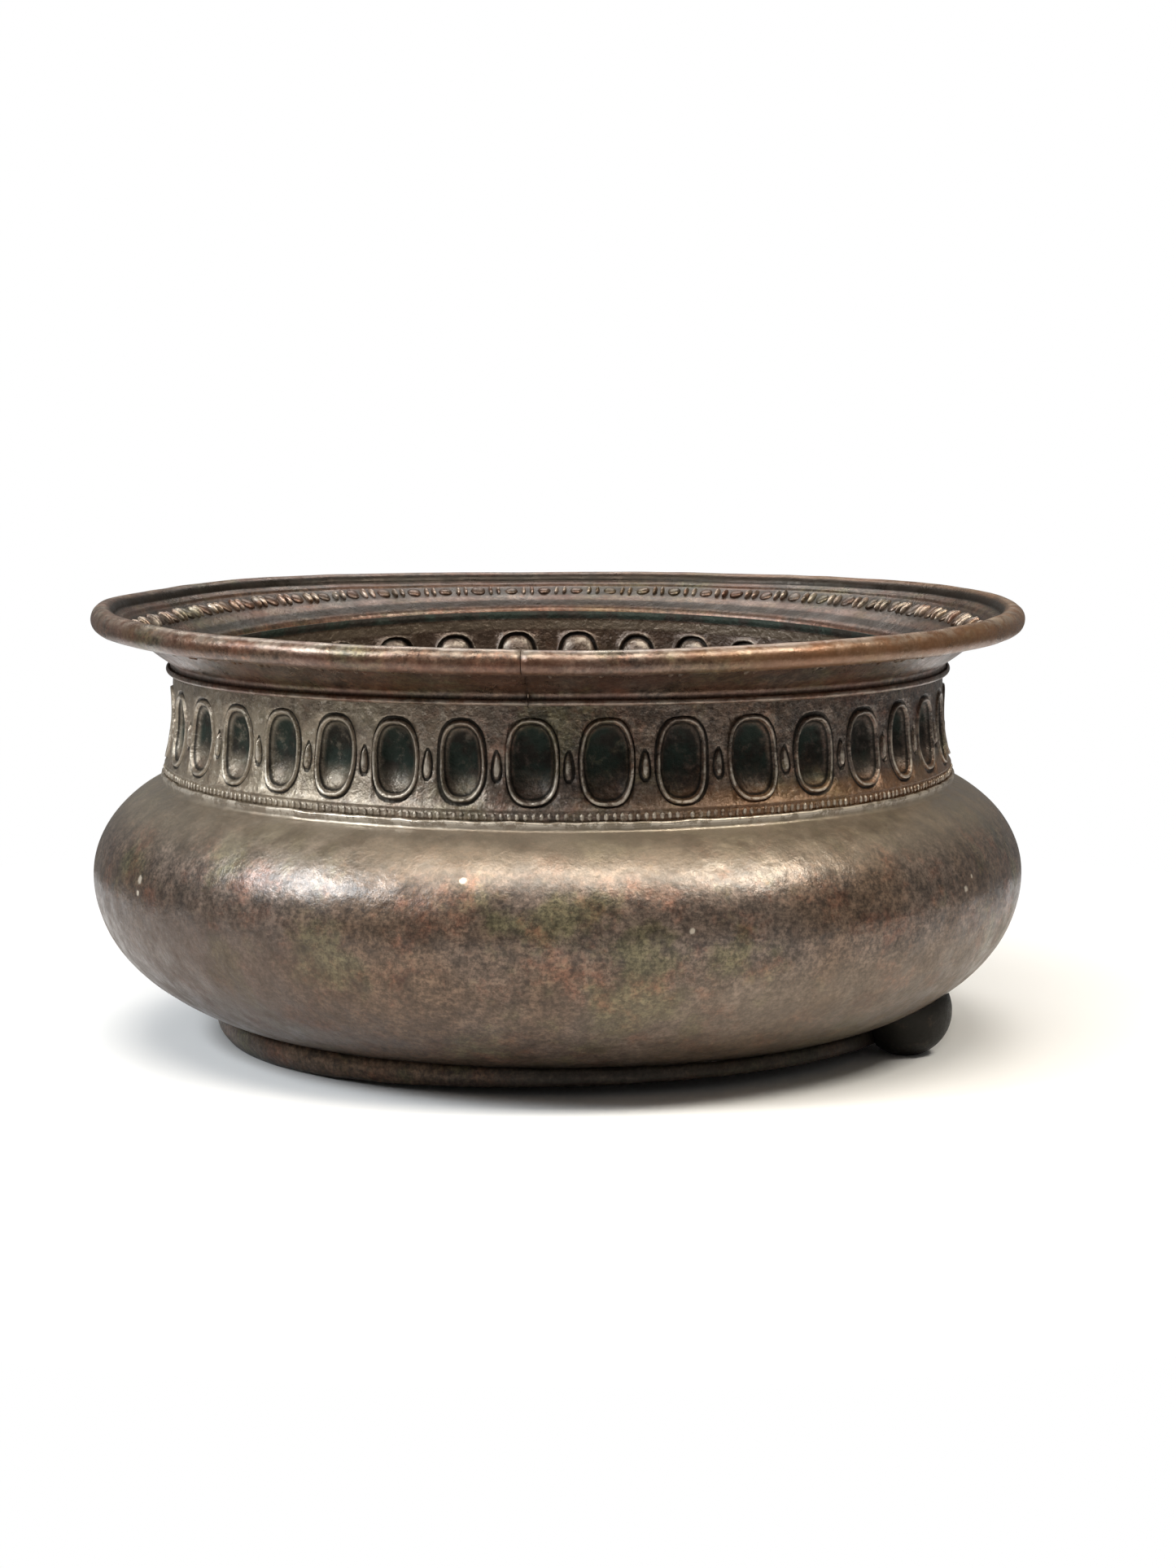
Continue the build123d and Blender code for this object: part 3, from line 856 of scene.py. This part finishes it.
class PLANTER_OT_neck(bpy.types.Operator):
    """Emboss the neck band: ovals, drops, the milled bead and the fine line"""

    bl_idname = "planter.neck"
    bl_label = "Emboss the neck"

    def execute(self, context):
        neck = context.scene.planter_neck
        bm = neck_sheet(neck)
        self.back_with_inner_wall(bm, neck.wall)
        tell(bm, "level", lambda v: v.co.z)
        slump = context.scene.planter_rim.slump
        slumped(bm, slump, lambda co: smoothstep(co.z, LINE_TOP, NECK_HIGH.z - 6 * MM))

        def free(low, high):
            return lambda co: smoothstep(co.z, low, high) * below_collar(co)

        wander(bm, 55 * MM, 0.6 * MM, 6, free(LINE_TOP, LINE_TOP + 10 * MM))
        wander(bm, 9 * MM, 0.3 * MM, 8, free(LINE_TOP - 3 * MM, LINE_TOP + 4 * MM))
        poured(bm, ticks(neck))
        finished(bm, "embossed_neck", neck_finish(context.scene.planter_finish), ["neck_band"])
        return {"FINISHED"}

    def back_with_inner_wall(self, bm, wall):
        """Copies the sheet inwards by the wall's thickness, relief reversed, and closes its two edges."""
        inner = bm.verts.layers.float.new("inner")
        relief = bm.verts.layers.float["relief"]
        copy = bmesh.ops.duplicate(bm, geom=bm.verts[:] + bm.edges[:] + bm.faces[:])["geom"]
        for v in copy:
            if isinstance(v, bmesh.types.BMVert):
                v.co -= Vector((v.co.x, v.co.y, 0)).normalized() * wall
                v[relief] = -v[relief]
                v[inner] = 1
        bmesh.ops.reverse_faces(bm, faces=[f for f in copy if isinstance(f, bmesh.types.BMFace)])
        open_edges = [e for e in bm.edges if e.is_boundary]
        for top in (False, True):
            bmesh.ops.bridge_loops(bm, edges=[e for e in open_edges if (e.verts[0].co.z > SEAM) == top])
        bmesh.ops.recalc_face_normals(bm, faces=bm.faces[:])


MOTIF_INSET = 18.6 * MM     # from the rim's edge to the middle of the bead-and-reel row
# A motif's bead and two reels: place as a share of the pitch, then half-width, half-length and rise in
# millimetres, then how dirty and how rubbed it is
MOTIF_PARTS = (
    (0.0, 3.1, 3.9, 1.3, 0.45, 0.1),
    (0.38, 1.0, 3.9, 1.9, 0.0, 1.0),
    (0.62, 1.0, 3.9, 1.9, 0.0, 1.0),
)
JOINT_GAP = 0.3 * MM


class PLANTER_OT_rim(bpy.types.Operator):
    """Form the rim: collar, flare, rolled edge and the bead-and-reel row inside"""

    bl_idname = "planter.rim"
    bl_label = "Form the rim"

    def execute(self, context):
        rim = context.scene.planter_rim
        paint = context.scene.planter_finish
        half = rim.wall / 2
        collar = context.scene.planter_neck.radius + 0.1 * MM + half
        bead = 1.4 * MM - half
        bend = 3.4 * MM
        bend_height = NECK_HIGH.z - rim.wall
        flare_start = (
            collar + bend * (1 - math.sin(rim.slope)),
            bend_height + bend * math.cos(rim.slope),
        )
        roll = (RIM_HIGH.x - rim.roll_radius, RIM_HIGH.z - rim.roll_radius)
        mid_roll = rim.roll_radius - half
        foot = (collar + bead, RIM_LOW.z + bead + half)
        lean = math.tan(rim.slope)

        def on_flare(radius):
            return flare_start[1] + (radius - flare_start[0]) * lean

        line = RIM_HIGH.x - 12.4 * MM
        touch = roll[0] - mid_roll * 0.985
        path = arc(foot, (bead, bead), 60, -180, 12)
        path += run((collar, foot[1]), (collar, bend_height), 3)
        path += arc((collar + bend, bend_height), (bend, bend), 180, 90 + math.degrees(rim.slope), 8)
        path += run(flare_start, (line - 1.2 * MM, on_flare(line - 1.2 * MM)), 14)
        for i in range(9):
            radius = line - 1.2 * MM + 0.3 * MM * i
            path.append((radius, on_flare(radius) + 0.6 * MM * math.sin(math.pi * i / 8) ** 2))
        path += run((line + 1.2 * MM, on_flare(line + 1.2 * MM)), (touch, on_flare(touch)), 3)
        path += arc(roll, (mid_roll, mid_roll), 171, -165, 40)
        gap = JOINT_GAP / roll[0]
        bm = spun(walled(path, rim.wall), RIM_STEPS, closed=True, start=rim.joint, gap=gap)
        edge_start = roll[0] - rim.roll_radius
        middle = RIM_HIGH.x - MOTIF_INSET

        # The rim's darkening: dark in the roll's inner crease and along the bead row, the flare's whole
        # inside at least 0.45 dark, and painted shade in the collar's bend and under the flare.
        def darkened_with_painted_shade(v):
            radius = math.hypot(v.co.x, v.co.y)
            outside_roll = radius > edge_start - 1 * MM
            above = v.co.z - on_flare(radius)
            near_roll = smoothstep(radius, edge_start - 2 * MM, edge_start + 0.4 * MM)
            inner_side = (1 - smoothstep(radius, roll[0] - 3.6 * MM, roll[0] - 1.5 * MM)) * near_roll
            band = 1 - smoothstep(abs(radius - middle), 3.8 * MM, 4.8 * MM)
            # Painted shade in the collar's bend.
            bend_painted_shade = smoothstep(radius, 158.6 * MM, 159.6 * MM)
            bend_painted_shade *= 1 - smoothstep(radius, 163 * MM, 164.5 * MM)
            if outside_roll and not (above > 0 and inner_side):
                return 0
            # Painted shade under the flare, deepening out towards the roll.
            if above < 0:
                return 0.35 * smoothstep(radius, 160 * MM, 170 * MM)
            return max(inner_side * (above > 0), band * 0.9, bend_painted_shade * 0.95, 0.45)

        def handled(v):
            top = Vector((math.hypot(v.co.x, v.co.y) - roll[0], v.co.z - roll[1]))
            on_roll = top.length < rim.roll_radius * 1.05
            outer_top = smoothstep(top.y, 1 * MM, 4 * MM) * smoothstep(top.x, -2.5 * MM, 0)
            bead_edge = v.co.z < foot[1] + bead
            return 0.9 * outer_top if on_roll else 0.8 * bead_edge

        tell(bm, "hollow", darkened_with_painted_shade)
        tell(bm, "rubbed", handled)
        tell(bm, "edge", lambda v: smoothstep(v.co.xy.length, edge_start, edge_start + 1 * MM))
        poured(bm, self.bead_and_reel(rim, middle, on_flare(middle) + half / math.cos(rim.slope)))
        saddled(bm, rim.saddle)
        slumped(bm, rim.slump, lambda co: 1 - smoothstep(co.xy.length, 162 * MM, roll[0] - mid_roll))
        wander(bm, 70 * MM, 0.8 * MM, 12, above_neck)
        wander(bm, 16 * MM, 0.22 * MM, 15, above_neck)
        finished(bm, "rolled_rim", rim_finish(paint), ["rim_flare"])
        ring = arc(roll, (WIRE_HIGH.z - roll[1], WIRE_HIGH.z - roll[1]), 0, 360, 16)[:-1]
        wire = spun(ring, WIRE_STEPS, closed=True, start=rim.joint, gap=gap)
        saddled(wire, rim.saddle)
        wander(wire, 70 * MM, 0.8 * MM, 12, above_neck)
        finished(wire, "edge_wire", wire_finish(paint), ["rim_wire"])
        return {"FINISHED"}

    def bead_and_reel(self, rim, middle, height):
        """A flat bead and a pair of reels, over and over, pressed up out of the flare."""
        bm = bmesh.new()
        hollow = bm.verts.layers.float.new("hollow")
        rubbed = bm.verts.layers.float.new("rubbed")
        pitch = math.tau / rim.motifs
        for share, half_wide, half_long, rise, dark, bright in MOTIF_PARTS:
            place = (
                Matrix.Rotation(rim.joint + 0.02 + pitch * share, 4, "Z")
                @ Matrix.Translation((middle, 0, height))
                @ Matrix.Rotation(-rim.slope, 4, "Y")
                @ Matrix.Diagonal((half_long * MM, half_wide * MM, rise * MM, 1))
            )
            for v in bmesh.ops.create_icosphere(bm, subdivisions=2, radius=1, matrix=place)["verts"]:
                v[hollow] = dark
                v[rubbed] = bright
        repeat(bm, pitch, rim.motifs)
        wander(bm, 7 * MM, 0.7 * MM, 7)
        return bm


class PLANTER_OT_foot(bpy.types.Operator):
    """Bend and wear the foot ring, and finish the levelling foot near-black as painted shade under the
    belly's right side
    """

    bl_idname = "planter.foot"
    bl_label = "Fit the foot"

    def execute(self, context):
        foot = context.scene.planter_foot
        paint = context.scene.planter_finish
        top = RING_HIGH.z - 0.4 * MM
        swell = 2.4 * MM
        outside = []
        for i in range(9):
            share = i / 8
            radius = foot.foot_radius + (foot.top_radius - foot.foot_radius) * share
            outside.append((radius + swell * math.sin(math.pi * share), top * share))
        inside = [(r - foot.wall, z - 0.6 * MM * (z > top / 2)) for r, z in reversed(outside)]
        bm = spun(outside + inside, ROUND_STEPS, closed=True)
        way = Vector((math.cos(foot.wear_turn), math.sin(foot.wear_turn), 0))
        start = -10 * MM
        slope = math.atan2(foot.wear, foot.foot_radius - start)
        normal = Vector((0, 0, math.cos(slope))) - way * math.sin(slope)
        geometry = bm.verts[:] + bm.edges[:] + bm.faces[:]
        bmesh.ops.bisect_plane(bm, geom=geometry, plane_co=way * start, plane_no=normal, clear_inner=True)
        bmesh.ops.holes_fill(bm, edges=[e for e in bm.edges if e.is_boundary], sides=0)
        bmesh.ops.triangulate(bm, faces=[f for f in bm.faces if len(f.verts) > 4])
        wander(bm, 14 * MM, 0.35 * MM, 21, lambda co: smoothstep(co.z, 0, 3 * MM))
        finished(bm, "foot_ring_worn", foot_finish(paint), ["foot_ring"])
        # The levelling foot is finished near-black, as painted shade under the belly's right side.
        painted("levelling_foot", shadow_lump_finish(paint))
        return {"FINISHED"}


SPATTER_DROPS = 14


class PLANTER_OT_solder(bpy.types.Operator):
    """Run the solder: inside the mouth, round the foot and under the rim's joint"""

    bl_idname = "planter.solder"
    bl_label = "Run the solder"

    def execute(self, context):
        paint = context.scene.planter_finish
        grey = solder_finish(paint)
        for node in ("foot_solder", "neck_solder"):
            painted(node, grey)
        low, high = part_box("rim_joint_solder")
        middle = (low + high) / 2
        rng = random.Random(9)
        bm = bmesh.new()
        for i in range(SPATTER_DROPS):
            spread = (rng.uniform(-1, 1) * 2.6, rng.uniform(-1, 1) * 2.0, rng.uniform(-1.2, 0.8) * 1.3)
            reach = Vector(spread) * MM
            size = rng.uniform(0.5, 1.7) * MM
            place = Matrix.Translation(middle + reach) @ Matrix.Diagonal((size, size, size * 0.8, 1))
            bmesh.ops.create_icosphere(bm, subdivisions=3, radius=1, matrix=place)
        wander(bm, 1.6 * MM, 0.5 * MM, 30)
        finished(bm, "joint_spatter", grey, ["rim_joint_solder"])
        return {"FINISHED"}


FLOOR_RADIUS = 0.52
SENSOR_WIDTH = 36


class PLANTER_OT_stage(bpy.types.Operator):
    """Set up the floor, the lamps and the camera"""

    bl_idname = "planter.stage"
    bl_label = "Set the stage"

    def execute(self, context):
        scene = context.scene
        stage = scene.planter_stage
        bm = bmesh.new()
        bmesh.ops.create_circle(bm, cap_ends=True, cap_tris=True, segments=96, radius=FLOOR_RADIUS)
        mesh = bpy.data.meshes.new("floor")
        bm.to_mesh(mesh)
        bm.free()
        mesh.materials.append(floor_finish())
        floor = bpy.data.objects.new("floor", mesh)
        scene.collection.objects.link(floor)

        self.lamp("left_window", 203, 36, 1.7, (0.80, 0.42), 24, (0.90, 0.96, 1.0))
        self.lamp("right_window", -29, 50, 1.7, (0.50, 0.42), 15, (1.0, 0.95, 0.84))
        self.lamp("back_window", 98, 50, 2.0, (1.5, 0.7), 14, (1.0, 0.98, 0.95))
        self.lamp("ceiling", -96, 65, 2.1, (1.7, 0.8), 36, (1.0, 0.94, 0.85))
        self.room(scene, stage)

        camera = bpy.data.cameras.new("camera")
        camera.lens = stage.lens
        camera.sensor_width = SENSOR_WIDTH
        camera.shift_x = stage.shift_across
        camera.shift_y = stage.shift_up
        eye = bpy.data.objects.new("camera", camera)
        aim = Vector((0, 0, stage.aim_height))
        back = Vector((0, -math.cos(stage.elevation), math.sin(stage.elevation)))
        eye.location = aim + back * stage.distance
        eye.rotation_euler = back.to_track_quat("Z", "Y").to_euler()
        scene.collection.objects.link(eye)
        scene.camera = eye
        scene.view_settings.view_transform = "Standard"
        return {"FINISHED"}

    def lamp(self, name, turn, rise, distance, size, power, colour):
        """A soft rectangular lamp that faces the pot from that turn and rise, in degrees."""
        light = bpy.data.lights.new(name, "AREA")
        light.shape = "RECTANGLE"
        light.size, light.size_y = size
        light.energy = power
        light.color = colour
        lamp = bpy.data.objects.new(name, light)
        turn, rise = math.radians(turn), math.radians(rise)
        way = Vector((math.cos(turn) * math.cos(rise), math.sin(turn) * math.cos(rise), math.sin(rise)))
        lamp.location = Vector((0, 0, 0.1)) + way * distance
        lamp.rotation_euler = way.to_track_quat("Z", "Y").to_euler()
        bpy.context.scene.collection.objects.link(lamp)

    def room(self, scene, stage):
        """An even room whose far wall is the pale backdrop."""
        world = bpy.data.worlds.new("room")
        world.use_nodes = True
        tree = world.node_tree
        tree.nodes.clear()
        output = tree.nodes.new("ShaderNodeOutputWorld")
        mix = tree.nodes.new("ShaderNodeMixShader")
        path = tree.nodes.new("ShaderNodeLightPath")
        even = tree.nodes.new("ShaderNodeBackground")
        even.inputs["Color"].default_value = (1.0, 0.97, 0.93, 1)
        even.inputs["Strength"].default_value = stage.room
        wall = tree.nodes.new("ShaderNodeBackground")
        wall.inputs["Color"].default_value = (*stage.backdrop, 1)
        wall.inputs["Strength"].default_value = 1
        tree.links.new(path.outputs["Is Camera Ray"], mix.inputs["Fac"])
        tree.links.new(even.outputs["Background"], mix.inputs[1])
        tree.links.new(wall.outputs["Background"], mix.inputs[2])
        tree.links.new(mix.outputs["Shader"], output.inputs["Surface"])
        scene.world = world


class PLANTER_PT_panel(bpy.types.Panel):
    """Lists the pot's pieces"""

    bl_idname = "PLANTER_PT_panel"
    bl_label = "Planter pot"
    bl_space_type = "VIEW_3D"
    bl_region_type = "UI"
    bl_category = PANEL_TAB

    def draw(self, context):
        for operator in OPERATORS:
            self.layout.operator(operator.bl_idname)
        for name in GROUPS:
            group = getattr(context.scene, name)
            box = self.layout.box()
            for item in group.bl_rna.properties:
                if item.identifier not in {"rna_type", "name"}:
                    box.prop(group, item.identifier)


OPERATORS = (
    PLANTER_OT_bowl,
    PLANTER_OT_neck,
    PLANTER_OT_rim,
    PLANTER_OT_foot,
    PLANTER_OT_solder,
    PLANTER_OT_stage,
)
GROUPS = {
    "planter_bowl": PlanterBowl,
    "planter_neck": PlanterNeck,
    "planter_rim": PlanterRim,
    "planter_foot": PlanterFoot,
    "planter_finish": PlanterFinish,
    "planter_stage": PlanterStage,
}


def register():
    for item in (*GROUPS.values(), *OPERATORS, PLANTER_PT_panel):
        bpy.utils.register_class(item)
    for name, group in GROUPS.items():
        setattr(bpy.types.Scene, name, bpy.props.PointerProperty(type=group))


def unregister():
    for name in GROUPS:
        delattr(bpy.types.Scene, name)
    for item in (PLANTER_PT_panel, *OPERATORS[::-1], *reversed(GROUPS.values())):
        bpy.utils.unregister_class(item)


def main():
    register()
    bpy.ops.planter.bowl()
    bpy.ops.planter.neck()
    bpy.ops.planter.rim()
    bpy.ops.planter.foot()
    bpy.ops.planter.solder()
    bpy.ops.planter.stage()


if __name__ == "__main__":
    main()
